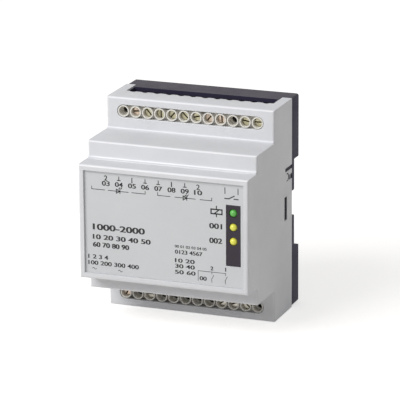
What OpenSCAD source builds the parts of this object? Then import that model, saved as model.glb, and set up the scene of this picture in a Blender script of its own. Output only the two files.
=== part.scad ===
// Photocell amplifier in a four-module housing for a 35 mm top-hat rail.
// Millimetres. X runs along the rail, Z is up and the front faces -Y.
// The origin is the middle of the seat on the rail.

/* [Housing] */
// Width along the rail
housing_w = 70; // [69:0.5:84]
// Height of the front tier, which carries the label
front_tier_h = 46; // [42:0.5:52]
// Height of the middle tier
middle_tier_h = 60; // [57:0.5:61]
// Height of the terminal tier and of the base
terminal_tier_h = 86; // [85.5:0.5:96]
// Distance from the rail seat to the front face
front_depth = 53; // [51:0.5:62]
// Depth of the step from the front tier to the middle tier
front_step = 10; // [7:0.5:12]
// Wall of the front cover
cover_wall = 2; // [1.6:0.1:2.2]
// Wall of the rear base
base_wall = 1.8; // [1.5:0.1:2]
// Radius of the moulded outer edges
edge_r = 1; // [0.5:0.1:1.4]
// Radius of the four corners of the rear base
base_corner_r = 1.8; // [1:0.1:2.2]
// Clearance between the cover and the base inside it
shell_gap = 0.2; // [0.1:0.05:0.3]

/* [Rail] */
// Height of the rail that the base takes
rail_h = 35; // [34:0.5:36]
// Thickness of the rail's flange
rail_t = 1; // [0.8:0.1:1.5]
// Distance that the base reaches behind the rail seat
heel_depth = 5.9; // [4.8:0.1:7]
// Drop of the lower lead-in slope across the heel
lead_in = 1.5; // [0.5:0.1:2]
// Thickness of the base flange that shows behind the cover
flange_t = 2.7; // [2.4:0.1:3]
// Depth of the base rim inside the cover
rim_depth = 3.4; // [2.8:0.1:3.6]
// Overlap of the hooks and of the clip with the rail
hook_bite = 1.3; // [1:0.1:1.6]
// Width of each fixed hook
hook_w = 8; // [5:0.5:10]
// Distance from the middle to each fixed hook
hook_x = 13; // [10:0.5:20]

/* [Terminals] */
// Most ways in each terminal row
most_ways = 12; // [10:1:14]
// Distance between ways
pitch = 5.08; // [5:0.02:5.6]
// Distance from the screws to the end of the terminal tier
screw_inset = 5.6; // [5.4:0.1:6]
// Radius of the tube round each screw head
tube_r = 2.35; // [2.25:0.05:2.4]
// Radius of the screw head
head_r = 1.75; // [1.6:0.05:1.8]
// Length of the screw head
head_l = 1.5; // [1.2:0.1:1.8]
// Depth of the head below the mouth of its tube
head_recess = 1.8; // [1.2:0.1:2.4]
// Radius of the screw thread
thread_r = 1.25; // [1.1:0.05:1.35]
// Advance of the clamp in one turn
thread_pitch = 0.5; // [0.4:0.05:0.5]
// Turns from open to closed
clamp_turns = 7; // [5:1:7]
// Width of the clamp cage
cage_w = 4.1; // [3.9:0.05:4.2]
// Height of the clamp cage
cage_h = 4.6; // [4.2:0.1:4.8]
// Opening of the clamp cage
cage_window = 5.2; // [4.8:0.1:5.4]

/* [Front] */
// Depth of the recess for the label
label_recess = 1.3; // [0.8:0.1:1.6]
// Thickness of the label
label_t = 0.2; // [0.1:0.05:0.4]
// Border of the front face round the label
label_border = 2; // [1.5:0.1:3]
// Width of the indicator strip
strip_w = 5.8; // [5.2:0.1:6.2]
// Height of the indicator strip
strip_h = 24.2; // [20:0.1:26]
// Gap between the strip and the edge of the label
strip_margin = 1.6; // [1.3:0.1:2]
// Radius of an indicator lamp
lamp_r = 1.5; // [1.3:0.05:1.6]
// Distance between lamps
lamp_pitch = 5.65; // [5:0.05:6]
// Height of the middle lamp
lamp_z = 3.5; // [2:0.1:4]

/* [Inside] */
// Thickness of the circuit boards
board_t = 1.6; // [1.4:0.1:1.8]
// Distance from the base floor to the main board
standoff = 3.6; // [3.4:0.1:4.5]
// Stack of the transformer's laminations
core_stack = 13.6; // [10:0.2:16]
// Depth of the winding over the transformer's middle leg
coil_build = 5.6; // [4:0.1:5.8]
// Height of the relays
relay_h = 12.5; // [10:0.1:15]
// Height of the smoothing capacitor
smoother_h = 20; // [12:0.5:28]

/* [Hidden] */
$fn = 48;
eps = 0.01;
// Extra length of a cut past the face that it leaves
past = 1;
// Fits
slide_gap = 0.2;
turn_gap = 0.03;
seat_gap = 0.05;
pin_gap = 0.1;
stand_gap = 0.3;
// Turn of each screw slot in degrees from level, by way from the left, where the way has a clamp
upper_turns = ["empty", 5, -50, 90, 50, -45, 15, 50, 95, "empty", -10, 0];
lower_turns = [60, "empty", 0, "empty", "empty", "empty", "empty", "empty", 35, 20, -40, "empty"];
// Housing planes along Y
front_y = -front_depth;
middle_y = front_y + front_step;
floor_t = base_wall + 0.2;
board_y = -(floor_t + standoff + board_t);
cover_back_y = -flange_t;
rim_y = cover_back_y - rim_depth;
tier_lap = 2 * edge_r + 1;
half_w = housing_w / 2;
inner_x = half_w - cover_wall;
rim_x = inner_x - shell_gap;
rim_wall = 1.6;
cavity_x = rim_x - rim_wall;
half_h = terminal_tier_h / 2;
inner_z = half_h - cover_wall;
rim_z = inner_z - shell_gap;
// As many ways as the cover takes, up to the most
ways = min(most_ways, floor(2 * (inner_x - stand_gap) / pitch));
upper_ways = [for (i = [1:ways]) if (is_num(upper_turns[i - 1])) i];
lower_ways = [for (i = [1:ways]) if (is_num(lower_turns[i - 1])) i];
// Clamp and terminal block
screw_z = half_h - screw_inset;
cage_top_t = 1.4;
cage_floor_t = 0.8;
cage_l = cage_top_t + cage_window + cage_floor_t;
clamp_travel = thread_pitch * clamp_turns;
chamber_l = cage_l + clamp_travel + 2 * pin_gap;
shoulder_t = 0.8;
block_floor_t = 0.85;
screw_to_wall = 6.2;
tube_l = cover_wall + stand_gap - slide_gap;
head_seat = head_recess + head_l + seat_gap;
block_l = head_seat - tube_l + shoulder_t + chamber_l + block_floor_t;
block_y = board_y - block_l;
tube_y = block_y - tube_l;
terminal_y = block_y - stand_gap - cover_wall;
block_w = ways * pitch;
block_out_z = inner_z - stand_gap;
block_in_z = screw_z - screw_to_wall;
shoulder_y = tube_y + head_seat;
chamber_y = shoulder_y + shoulder_t;
chamber_end_y = chamber_y + chamber_l;
cage_back_y = chamber_end_y - pin_gap;
cage_y = cage_back_y - cage_l;
bar_t = 0.9;
bar_y = cage_y + cage_top_t + pin_gap;
entry_y = bar_y + bar_t;
entry_end_y = cage_back_y - cage_floor_t;
chamber_h = cage_h + 2 * slide_gap;
leg_w = 1.4;
leg_drop = 2.5;
leg_z = screw_z - chamber_h / 2 - leg_drop;
entry_half_w = 1.6;
leg_hole_r = 0.95;
head_y = tube_y + head_recess;
head_bevel = 0.2;
slot_half_w = 0.27;
slot_depth = 0.8;
cage_side_t = 0.7;
bar_w = cage_w - 2 * cage_side_t - 3 * pin_gap;
shank_end_y = bar_y - 2 * seat_gap;
// Openings in the cover
slot_r = tube_r + 0.25;
gap_x = block_w / 2 + 0.4;
lip_over = 0.25;
lip_y = entry_y + lip_over;
scoop_r = 4;
scoop_slope = 15;
scoop_depth = 0.35;
scoop_lift = scoop_r / cos(scoop_slope) - scoop_depth;
scoop_l = 4 * scoop_depth / sin(scoop_slope);
plate_x = gap_x - slide_gap;
cheek_t = 0.6;
cheek_drop = 0.3;
// Snap windows, slits and pegs in the sides
window_z = 4.8;
window_w = 3;
window_back = 5.9;
window_y = [cover_back_y - window_back - window_w, cover_back_y - window_back];
slit_z = [14.7, 16.2];
slit_y = cover_back_y - 7.8;
key_z = [10.6, 12.7];
key_y = rim_y - 0.3;
peg_z = 12.3;
peg_y = cover_back_y - 5.3;
peg_r = 1.7;
moon_shift = 0.55;
moon_r = 1.35;
catch_z = window_z - 0.4;
catch_head = 0.6;
catch_lip = 0.15;
catch_seat = 0.15;
catch_flat = 1.8;
notch_z = 5.2;
key_inset = 0.4;
key_depth = 0.5;
heel_pocket_h = 8;
// Rail recess, hooks and clip
rail_half = rail_h / 2 + 0.1;
hook_y = rail_t + stand_gap;
hook_t = 2.4;
hook_tip_t = 1.4;
hook_rise = 1;
clip_w = 17.6;
clip_neck_w = 14;
clip_flange_t = 1.6;
clip_y = hook_y;
clip_end_y = heel_depth - 0.3;
clip_nose_z = -(rail_h / 2 - hook_bite);
clip_foot_z = -half_h + 0.2;
clip_shoulder_z = -rail_half - lead_in - 0.5;
clip_nose_t = 1;
clip_room = 11.5;
slot_x = 3;
slot_wall = 0.8;
slot_h = 2.6;
window_x = 2.2;
window_top_z = -rail_half - 6.6;
anvil_z = [-half_h + 5.2, -half_h + 6.6];
anvil_x = window_x - 0.3;
anvil_y = clip_end_y - 0.4;
window_bottom_z = anvil_z[0] - slide_gap;
// Return spring of the clip
spring_wire_r = 0.22;
spring_r = 1.15;
spring_turns = 8;
spring_seat = 0.05;
spring_y = (clip_y + clip_end_y) / 2;
spring_z = [anvil_z[1] + spring_seat, window_top_z - spring_seat];
// Front furniture
label_y = front_y + label_recess;
label_floor_t = 1.2;
front_wall = label_recess + label_floor_t;
label_x = half_w - label_border;
label_end = 0.3;
label_z = front_tier_h / 2 - label_border - label_end;
strip_x = label_x - strip_margin - strip_w / 2;
strip_z = 0.1;
strip_y = label_y - label_t - 0.1;
strip_flange = 0.9;
strip_flange_t = 0.8;
lamp_proud = 0.8;
lamp_tip_y = strip_y - lamp_proud;
lamp_l = 5.2;
lamp_rim = 0.4;
lamp_rim_t = 0.8;
lamp_hole_r = lamp_r + 0.15;
lead_r = 0.3;
lead_z = 1.27;
lamp_back_y = lamp_tip_y + lamp_l;
// Boards
display_y = lamp_back_y + 1.1;
display_back_y = display_y + board_t;
display_x = inner_x - 1.5;
display_z = front_tier_h / 2 - cover_wall - 2;
display_post_r = 2.2;
display_pin_r = 1;
display_pin_l = 0.8;
board_x = cavity_x - stand_gap;
board_z = rim_z - rim_wall - stand_gap;
board_back_y = board_y + board_t;
board_post_r = 2.4;
board_pin_r = 1.2;
board_pin_l = 0.7;
board_peg_at = [board_x - 2.5, block_in_z - 3.1];
display_peg_at = [display_x - 3.5, display_z - 2.5];
tail = 1.2;
pin_r = 0.45;
// Half sizes of the parts on the main board
core_half = [19.2, 16];
core_leg = 12.8;
core_window = [6.4, 19.2];
bobbin_gap = 0.3;
bobbin_t = 1;
bobbin_lip = 0.6;
coil_x = core_leg / 2 + bobbin_gap + coil_build;
coil_y = core_stack / 2 + bobbin_gap + coil_build;
coil_z = core_window[1] / 2 - slide_gap;
transformer_y = board_y - coil_y - bobbin_lip;
pin_step = 10;
transformer_pins = [for (x = [-pin_step, 0, pin_step], s = [-1, 1]) [x, s * (coil_z - bobbin_t / 2)]];
relay_half = [10, 5];
relay_pins = [[-7.5, 0], [-2.5, -3.5], [-2.5, 3.5], [7.5, -3.5], [7.5, 3.5]];
smoother_r = 5;
supply_r = 4;
supply_h = 12;
capacitor_pins = [[-1.8, 0], [1.8, 0]];
groove_y = [-2.6, -1.8];
groove_depth = 0.4;
chip_half = [11.4, 3.2];
chip_h = 3.4;
chip_lift = 0.4;
chip_mark_r = 1;
chip_legs = 9;
chip_leg_pitch = 2.54;
chip_leg_half = [0.25, 0.2];
chip_leg_gap = 0.15;
chip_leg_l = 2;
chip_row_h = 2 * (chip_half[1] + chip_leg_gap + chip_leg_half[1]);
fuse_r = 4.2;
fuse_h = 7.7;
varistor_r = 5;
varistor_t = 4;
varistor_lift = 0.8;
varistor_lead = [2.5, 0.3];
// Places of those parts: what is left of the room between the walls and between the terminal rows is shared
spare_x = 2 * (inner_x - core_half[0] - relay_half[0]);
spare_z = 2 * (block_in_z - fuse_r - core_half[1]) - board_t - chip_row_h;
column_x = -inner_x + 0.2 * spare_x + 2 * core_half[0];
fuse_z = 0.15 * spare_z + fuse_r - block_in_z;
transformer_at = [-inner_x + 0.1 * spare_x + core_half[0], fuse_z + fuse_r + 0.2 * spare_z + core_half[1]];
relay_2_at = [column_x + relay_half[0], -(notch_z + slide_gap + stand_gap + relay_half[1])];
relay_room = block_in_z + relay_2_at[1] - 3 * relay_half[1];
relay_1_at = [relay_2_at[0], relay_2_at[1] - 2 * relay_half[1] - 0.15 * relay_room];
link_z = transformer_at[1] + core_half[1] + 0.2 * spare_z;
smoother_at = [column_x + smoother_r + 0.4, link_z - smoother_r - 5.7];
supply_at = [smoother_at[0] + smoother_r + supply_r + 0.9, smoother_at[1] + 1];
chip_at = [board_peg_at[0] - board_pin_r - stand_gap - chip_half[0],
    link_z + board_t + 0.05 * spare_z + chip_row_h / 2];
fuse_shift = -8;
varistor_shift = 3.5;
fuse_at = [transformer_at[0] + fuse_shift, fuse_z];
varistor_at = [transformer_at[0] + varistor_shift, fuse_z];
link_x = 14;
link_tabs = [[-11, -5], [5, 11]];
link_tab_lap = 0.6;
link_chip_x = [-6.5, 6.5];
link_chip = [4.8, 6.4, 2.6];
// Colours
cover_colour = [0.84, 0.85, 0.86];
base_colour = [0.25, 0.25, 0.29];
label_colour = [0.78, 0.79, 0.81];
strip_colour = [0.2, 0.19, 0.2];
block_colour = [0.9, 0.87, 0.8];
board_colour = [0.1, 0.35, 0.2];

function two(i) = i < 10 ? str("0", i) : str(i);
function way_x(i) = (i - (ways + 1) / 2) * pitch;

UPPER_SCREWS = [for (i = upper_ways) str("upper_screw_", two(i))];
UPPER_CAGES = [for (i = upper_ways) str("upper_cage_", two(i))];
LOWER_SCREWS = [for (i = lower_ways) str("lower_screw_", two(i))];
LOWER_CAGES = [for (i = lower_ways) str("lower_cage_", two(i))];
HOUSING = ["front_cover", "rear_base", "front_label", "indicator_strip", "rail_clip", "clip_spring"];
LAMPS = ["power_lamp", "channel_1_lamp", "channel_2_lamp"];
ROWS = ["upper_terminal_block", "lower_terminal_block", "upper_contacts", "lower_contacts"];
BOARDS = ["main_board", "display_board", "link_board"];
PARTS = ["transformer_core", "transformer_coil", "relay_1", "relay_2", "smoothing_capacitor",
    "supply_capacitor", "controller_chip", "amplifier_chips", "fuse", "varistor"];

// A box between two planes on each axis
module span(x, y, z) {
    translate([x[0], y[0], z[0]])
        cube([x[1] - x[0], y[1] - y[0], z[1] - z[0]]);
}

// A round bar along Y
module rod(r, y, at = [0, 0]) {
    translate([at[0], y[0], at[1]])
        rotate([-90, 0, 0])
            cylinder(h = y[1] - y[0], r = r);
}

// An outline in Y and Z, carried along X
module along_x(half_x) {
    rotate([90, 0, 90])
        linear_extrude(height = 2 * half_x, center = true)
            children();
}

// A rectangle whose two corners at its first end are round
module round_end(half, y, r) {
    translate([-half, y[0] + r])
        square([2 * half, y[1] - y[0] - r]);
    translate([r - half, y[0]])
        square([2 * (half - r), r + eps]);
    for (s = [-1, 1])
        translate([s * (half - r), y[0] + r])
            circle(r);
}

// One tier of the housing, with round edges round its front face
module tier(half_z, y) {
    intersection() {
        rotate([0, -90, 0])
            linear_extrude(height = housing_w, center = true)
                round_end(half_z, y, edge_r);
        linear_extrude(height = 2 * half_z, center = true)
            round_end(half_w, y, edge_r);
    }
}

// Both the upper and the lower half of a symmetric feature
module up_and_down() {
    children();
    mirror([0, 0, 1])
        children();
}

// Both the left and the right half of a symmetric feature
module left_and_right() {
    children();
    mirror([1, 0, 0])
        children();
}

// A peg or a hole near each of the four corners
module at_corners(at) {
    for (sx = [-1, 1], sz = [-1, 1])
        translate([sx * at[0], 0, sz * at[1]])
            children();
}

// The room inside the stepped cover
module cover_room() {
    z1 = front_tier_h / 2 - cover_wall;
    z2 = middle_tier_h / 2 - cover_wall;
    y1 = front_y + front_wall;
    y2 = middle_y + cover_wall;
    y3 = terminal_y + cover_wall;
    y4 = cover_back_y + past;
    along_x(inner_x)
        polygon([[y1, z1], [y2, z1], [y2, z2], [y3, z2], [y3, inner_z], [y4, inner_z],
            [y4, -inner_z], [y3, -inner_z], [y3, -z2], [y2, -z2], [y2, -z1], [y1, -z1]]);
}

// The long slot through which one row of screws is reached
module screw_slot() {
    y = [terminal_y - past, terminal_y + cover_wall + past];
    x = way_x(ways);
    span([-x, x], y, [screw_z - slot_r, screw_z + slot_r]);
    for (s = [-1, 1])
        rod(slot_r, y, [s * x, screw_z]);
}

// The gap for the wires, with a scoop in its lip at each way
module wire_gap() {
    span([-gap_x, gap_x], [lip_y, cover_back_y + past], [block_out_z, half_h + past]);
    scoops();
}

// Shallow scoops that guide the wires, cut at a slant into the rear edge of the lip
module scoops() {
    for (i = [1:ways])
        translate([way_x(i), lip_y, half_h + scoop_lift])
            rotate([90 - scoop_slope, 0, 0])
                cylinder(h = scoop_l, r = scoop_r, center = true);
}

// The cuts in one side wall: snap window, slit, key slot and the moon-shaped cut round the peg
module side_cuts() {
    x = [inner_x - past, half_w + past];
    span(x, window_y, [-window_z, window_z]);
    span(x, [slit_y, cover_back_y + past], slit_z);
    span(x, [key_y, cover_back_y + past], key_z);
    difference() {
        translate([x[0], peg_y, peg_z])
            rotate([0, 90, 0])
                cylinder(h = x[1] - x[0], r = peg_r);
        translate([x[0] - past, peg_y - moon_shift, peg_z])
            rotate([0, 90, 0])
                cylinder(h = x[1] - x[0] + 2 * past, r = moon_r);
    }
}

// Light grey stepped cover, moulded in one piece
module front_cover() {
    color(cover_colour) {
        difference() {
            union() {
                tier(front_tier_h / 2, [front_y, middle_y + tier_lap]);
                tier(middle_tier_h / 2, [middle_y, terminal_y + tier_lap]);
                tier(half_h, [terminal_y, cover_back_y]);
            }
            cover_room();
            span([-label_x, label_x], [front_y - past, label_y], [-label_z, label_z]);
            strip_body(slide_gap / 2, [front_y - past, front_y + front_wall + past]);
            up_and_down() {
                screw_slot();
                wire_gap();
            }
            left_and_right()
                side_cuts();
        }
        cover_pegs();
    }
}

// Posts that carry the display board, with a pin through it
module cover_pegs() {
    at_corners(display_peg_at) {
        rod(display_post_r, [front_y + front_wall - eps, display_y]);
        rod(display_pin_r, [display_y - eps, display_back_y + display_pin_l]);
    }
}

// The outline that the indicator strip fills
module strip_body(gap, y) {
    w = strip_w / 2 + gap;
    h = strip_h / 2 + gap;
    span([strip_x - w, strip_x + w], y, [strip_z - h, strip_z + h]);
}

function lamp_at(i) = [strip_x, lamp_z - i * lamp_pitch];

// Dark strip behind the window in the label, with a flange inside the cover
module indicator_strip() {
    color(strip_colour)
        difference() {
            union() {
                strip_body(0, [strip_y, front_y + front_wall + eps]);
                strip_body(strip_flange, [front_y + front_wall, front_y + front_wall + strip_flange_t]);
            }
            for (i = [-1:1])
                rod(lamp_hole_r, [strip_y - past, lamp_back_y], lamp_at(i));
        }
}

// Label that fills the recess, cut out round the strip
module front_label() {
    color(label_colour)
        difference() {
            span([pin_gap - label_x, label_x - pin_gap], [label_y - label_t, label_y],
                [pin_gap - label_z, label_z - pin_gap]);
            strip_body(slide_gap / 2, [label_y - label_t - past, label_y + past]);
        }
}

// A round-nosed lamp with its rim and its two leads
module lamp(i, tint) {
    at = lamp_at(i);
    color(tint) {
        translate([at[0], lamp_tip_y + lamp_r, at[1]])
            sphere(lamp_r);
        rod(lamp_r, [lamp_tip_y + lamp_r, lamp_back_y], at);
        rod(lamp_r + lamp_rim, [lamp_back_y - lamp_rim_t, lamp_back_y], at);
    }
    color("silver")
        for (s = [-1, 1])
            rod(lead_r, [lamp_back_y - eps, display_back_y + tail], at + [0, s * lead_z]);
}

// The room inside the base, with a deeper pocket in each heel
module base_room() {
    heel_room_y = heel_depth - base_wall;
    top = rail_half + base_wall;
    bottom = -(rail_half + lead_in + base_wall);
    y0 = rim_y - past;
    along_x(cavity_x)
        polygon([[y0, board_z + stand_gap], [heel_room_y, board_z + stand_gap], [heel_room_y, top],
            [-floor_t, top], [-floor_t, bottom], [heel_room_y, bottom],
            [heel_room_y, -board_z - stand_gap], [y0, -board_z - stand_gap]]);
    up_and_down()
        span([-gap_x + base_wall, gap_x - base_wall], [y0, heel_room_y],
            [half_h - heel_pocket_h, half_h - base_wall]);
}

// The recess for the rail, with a slope that leads its lower edge in
module rail_recess() {
    y = heel_depth + past;
    slope = lead_in * y / heel_depth;
    along_x(half_w + past)
        polygon([[0, rail_half], [y, rail_half], [y, -rail_half - slope], [0, -rail_half]]);
}

// One fixed hook for the upper edge of the rail
module rail_hook() {
    lip = rail_h / 2 - hook_bite;
    root = rail_half + base_wall / 2;
    translate([hook_x, 0, 0])
        along_x(hook_w / 2)
            polygon([[hook_y, lip], [hook_y + hook_tip_t, lip], [hook_y + hook_t, lip + hook_rise],
                [hook_y + hook_t, root], [hook_y, root]]);
}

// The springy catch that snaps into the window of the cover
module side_catch() {
    x = rim_x;
    tip_x = half_w - catch_lip;
    tip_y = window_y[1] - catch_seat;
    span([x - rim_wall + slide_gap, x], [window_y[0] - catch_head, -floor_t / 2], [-catch_z, catch_z]);
    translate([0, 0, -catch_z])
        linear_extrude(height = 2 * catch_z)
            polygon([[x - eps, window_y[0] + slide_gap], [tip_x, tip_y - catch_flat], [tip_x, tip_y],
                [x - eps, tip_y]]);
}

// The slits that free the side catch from the rim, and the notch in the flange beside it
module catch_relief() {
    up_and_down()
        span([cavity_x - past, rim_x + eps], [rim_y - past, -floor_t / 2],
            [catch_z + slide_gap, notch_z + slide_gap]);
    span([inner_x, half_w + past], [rim_y - past, past], [-notch_z, notch_z]);
}

// Guide way for the rail clip, cut into the lower heel
module clip_way() {
    x1 = clip_w / 2 + slide_gap;
    x2 = clip_neck_w / 2 + slide_gap;
    z = [-half_h - past, 0];
    span([-x1, x1], [clip_y - slide_gap, clip_y + clip_flange_t + slide_gap], z);
    span([-x2, x2], [clip_y, heel_depth + past], z);
}

// Dark base with the seat and the hooks for the rail
module rear_base() {
    color(base_colour)
        difference() {
            union() {
                difference() {
                    base_shell();
                    base_room();
                }
                intersection() {
                    base_shell();
                    span([-clip_room, clip_room], [clip_y - slide_gap - base_wall, heel_depth + past],
                        [-half_h, -rail_half]);
                }
                left_and_right() {
                    rail_hook();
                    side_catch();
                    span([rim_x - key_depth, half_w - key_inset], [rim_y + pin_gap, cover_back_y + eps],
                        [key_z[0] + slide_gap, key_z[1] - slide_gap]);
                }
                base_pegs();
                up_and_down()
                    left_and_right()
                        gap_cheek();
            }
            left_and_right()
                catch_relief_cut();
            difference() {
                clip_way();
                span([-anvil_x, anvil_x], [0, anvil_y], anvil_z);
            }
        }
}

// The catch relief without the catch itself
module catch_relief_cut() {
    difference() {
        catch_relief();
        side_catch();
    }
}

// Outer form of the base: flange and heels, the rim inside the cover, and the plates in its wire gaps
module base_shell() {
    difference() {
        intersection() {
            mirror([0, 1, 0])
                tier(half_h, [-heel_depth, flange_t]);
            rotate([90, 0, 0])
                linear_extrude(height = 4 * heel_depth, center = true)
                    offset(r = base_corner_r)
                        square([housing_w - 2 * base_corner_r, 2 * (half_h - base_corner_r)], center = true);
        }
        rail_recess();
    }
    span([-rim_x, rim_x], [rim_y, eps - flange_t], [-rim_z, rim_z]);
    span([-plate_x, plate_x], [rim_y, eps - flange_t], [-half_h, half_h]);
}

// A thin cheek on the plate, which lines one end of the wire gap
module gap_cheek() {
    span([plate_x - cheek_t, plate_x], [lip_y + slide_gap, rim_y + eps],
        [block_out_z + slide_gap, half_h - cheek_drop]);
}

// Posts that carry the main board, with a pin through it
module base_pegs() {
    at_corners(board_peg_at) {
        rod(board_post_r, [board_back_y, heel_depth - base_wall + eps]);
        rod(board_pin_r, [board_y - board_pin_l, board_back_y + eps]);
    }
}

// Sliding clip that grips the lower edge of the rail
module rail_clip() {
    neck = clip_neck_w / 2;
    z0 = clip_foot_z;
    color([0.16, 0.16, 0.18])
        difference() {
            union() {
                along_x(neck)
                    polygon([[clip_y, z0], [clip_end_y, z0], [clip_end_y, clip_shoulder_z],
                        [clip_y + clip_nose_t, clip_nose_z], [clip_y, clip_nose_z]]);
                span([-clip_w / 2, clip_w / 2], [clip_y, clip_y + clip_flange_t], [z0, clip_shoulder_z]);
            }
            span([-window_x, window_x], [0, heel_depth + past], [window_bottom_z, window_top_z]);
            span([-slot_x, slot_x], [clip_y + slot_wall, clip_end_y - slot_wall], [z0 - past, z0 + slot_h]);
        }
}

// One point of the spring wire's edge
function coil_point(turn, angle) =
    let (r = spring_r + spring_wire_r * cos(angle))
    [r * cos(turn * 360), spring_y + r * sin(turn * 360),
     spring_z[0] + spring_wire_r + (spring_z[1] - spring_z[0] - 2 * spring_wire_r) * turn / spring_turns
        + spring_wire_r * sin(angle)];

// Return spring of the clip, wound from round wire
module clip_spring() {
    sides = 6;
    steps = 12 * spring_turns;
    points = [for (i = [0:steps], k = [0:sides - 1]) coil_point(i / 12, k * 360 / sides)];
    walls = [for (i = [0:steps - 1], k = [0:sides - 1])
        let (n = (k + 1) % sides)
        [i * sides + k, i * sides + n, (i + 1) * sides + n, (i + 1) * sides + k]];
    ends = [[for (k = [0:sides - 1]) sides - 1 - k], [for (k = [0:sides - 1]) steps * sides + k]];
    color("silver")
        polyhedron(points, concat(walls, ends));
}

// The hollow of one way: head bore, shoulder, chamber, contact slot and wire entry
module way_room(x) {
    half_cage = cage_w / 2 + pin_gap;
    half_ch = chamber_h / 2;
    rod(head_r + pin_gap, [tube_y - past, shoulder_y], [x, screw_z]);
    rod(thread_r + slide_gap, [shoulder_y - eps, chamber_y + eps], [x, screw_z]);
    span([x - half_cage, x + half_cage], [chamber_y, chamber_end_y], [screw_z - half_ch, screw_z + half_ch]);
    span([x - bar_w / 2 - pin_gap, x + bar_w / 2 + pin_gap], [bar_y - pin_gap, entry_y + pin_gap],
        [leg_z - pin_gap, screw_z]);
    span([x - leg_w / 2 - pin_gap, x + leg_w / 2 + pin_gap], [bar_y, board_y + past],
        [leg_z - pin_gap, leg_z + bar_t + pin_gap]);
    span([x - entry_half_w, x + entry_half_w], [entry_y + pin_gap, entry_end_y],
        [screw_z, block_out_z + past]);
}

// Moulded block of one terminal row, with a tube round each screw head
module terminal_block() {
    color(block_colour)
        difference() {
            union() {
                span([-block_w / 2, block_w / 2], [block_y, board_y], [block_in_z, block_out_z]);
                for (i = [1:ways])
                    rod(tube_r, [tube_y, block_y + eps], [way_x(i), screw_z]);
            }
            for (i = [1:ways])
                way_room(way_x(i));
        }
}

// Bent contact bars of one row, each with its leg through the main board
module contacts(used) {
    color("gold")
        for (i = used) {
            x = way_x(i);
            span([x - bar_w / 2, x + bar_w / 2], [bar_y, entry_y], [leg_z, screw_z + cage_h / 2]);
            span([x - leg_w / 2, x + leg_w / 2], [bar_y + eps, board_back_y + tail / 2],
                [leg_z, leg_z + bar_t]);
        }
}

// Slotted screw of one way, turned to its own angle
module screw(i, turn) {
    translate([way_x(i), 0, screw_z])
        color([0.72, 0.66, 0.35])
            difference() {
                union() {
                    rod(head_r, [head_y + head_bevel, head_y + head_l]);
                    translate([0, head_y, 0])
                        rotate([-90, 0, 0])
                            cylinder(h = head_bevel + eps, r1 = head_r - head_bevel, r2 = head_r);
                    rod(thread_r, [head_y + head_l - eps, shank_end_y]);
                }
                rotate([0, -turn, 0])
                    span([-head_r - past, head_r + past], [head_y - past, head_y + slot_depth],
                        [-slot_half_w, slot_half_w]);
            }
}

// Clamp cage that rises on its screw
module cage(i) {
    x = way_x(i);
    half_win = cage_w / 2 - cage_side_t;
    color([0.75, 0.75, 0.72])
        difference() {
            span([x - cage_w / 2, x + cage_w / 2], [cage_y, cage_back_y],
                [screw_z - cage_h / 2, screw_z + cage_h / 2]);
            span([x - half_win, x + half_win], [cage_y + cage_top_t, cage_back_y - cage_floor_t],
                [screw_z - cage_h, screw_z + cage_h]);
            rod(thread_r + turn_gap, [cage_y - past, cage_y + cage_top_t + past], [x, screw_z]);
        }
}

// Holes for round leads through the main board
module lead_holes(at, pins) {
    for (p = pins)
        rod(pin_r + pin_gap, [board_y - past, board_back_y + past], at + p);
}

// Main board, which carries the terminals and the power parts
module main_board() {
    through = [board_y - past, board_back_y + past];
    color(board_colour)
        difference() {
            span([-board_x, board_x], [board_y, board_back_y], [-board_z, board_z]);
            at_corners(board_peg_at)
                rod(board_pin_r + seat_gap, through);
            up_and_down()
                for (i = [1:ways])
                    rod(leg_hole_r, through, [way_x(i), leg_z + bar_t / 2]);
            lead_holes(transformer_at, transformer_pins);
            lead_holes(relay_1_at, relay_pins);
            lead_holes(relay_2_at, relay_pins);
            lead_holes(smoother_at, capacitor_pins);
            lead_holes(supply_at, capacitor_pins);
            link_slots(through);
        }
}

// Display board behind the front face, which carries the lamps
module display_board() {
    through = [display_y - past, display_back_y + past];
    color(board_colour)
        difference() {
            span([-display_x, display_x], [display_y, display_back_y], [-display_z, display_z]);
            at_corners(display_peg_at)
                rod(display_pin_r + seat_gap, through);
            for (i = [-1:1], s = [-1, 1])
                rod(lead_r + pin_gap, through, lamp_at(i) + [0, s * lead_z]);
            link_slots(through);
        }
}

// Slots for the tabs of the link board
module link_slots(y) {
    for (t = link_tabs)
        span([t[0] - pin_gap, t[1] + pin_gap], y, [link_z - pin_gap, link_z + board_t + pin_gap]);
}

// Link board that stands between the display board and the main board
module link_board() {
    z = [link_z, link_z + board_t];
    color(board_colour) {
        span([-link_x, link_x], [display_back_y, board_y], z);
        for (t = link_tabs)
            span(t, [display_y - link_tab_lap, board_back_y + link_tab_lap], z);
    }
}

// Round leads under a part, through the main board
module leads(at, pins) {
    color("silver")
        for (p = pins)
            rod(pin_r, [board_y - eps, board_back_y + tail], at + p);
}

// A closed box on the main board
module boxed_part(at, half, h) {
    span([at[0] - half[0], at[0] + half[0]], [board_y - h, board_y], [at[1] - half[1], at[1] + half[1]]);
}

// Laminated iron core with three legs and two windows
module transformer_core() {
    y = core_stack / 2;
    leg = core_leg / 2;
    color([0.35, 0.35, 0.38])
        translate([transformer_at[0], transformer_y, transformer_at[1]])
            difference() {
                span([-core_half[0], core_half[0]], [-y, y], [-core_half[1], core_half[1]]);
                left_and_right()
                    span([leg, leg + core_window[0]], [-y - past, y + past],
                        [-core_window[1] / 2, core_window[1] / 2]);
            }
}

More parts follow.
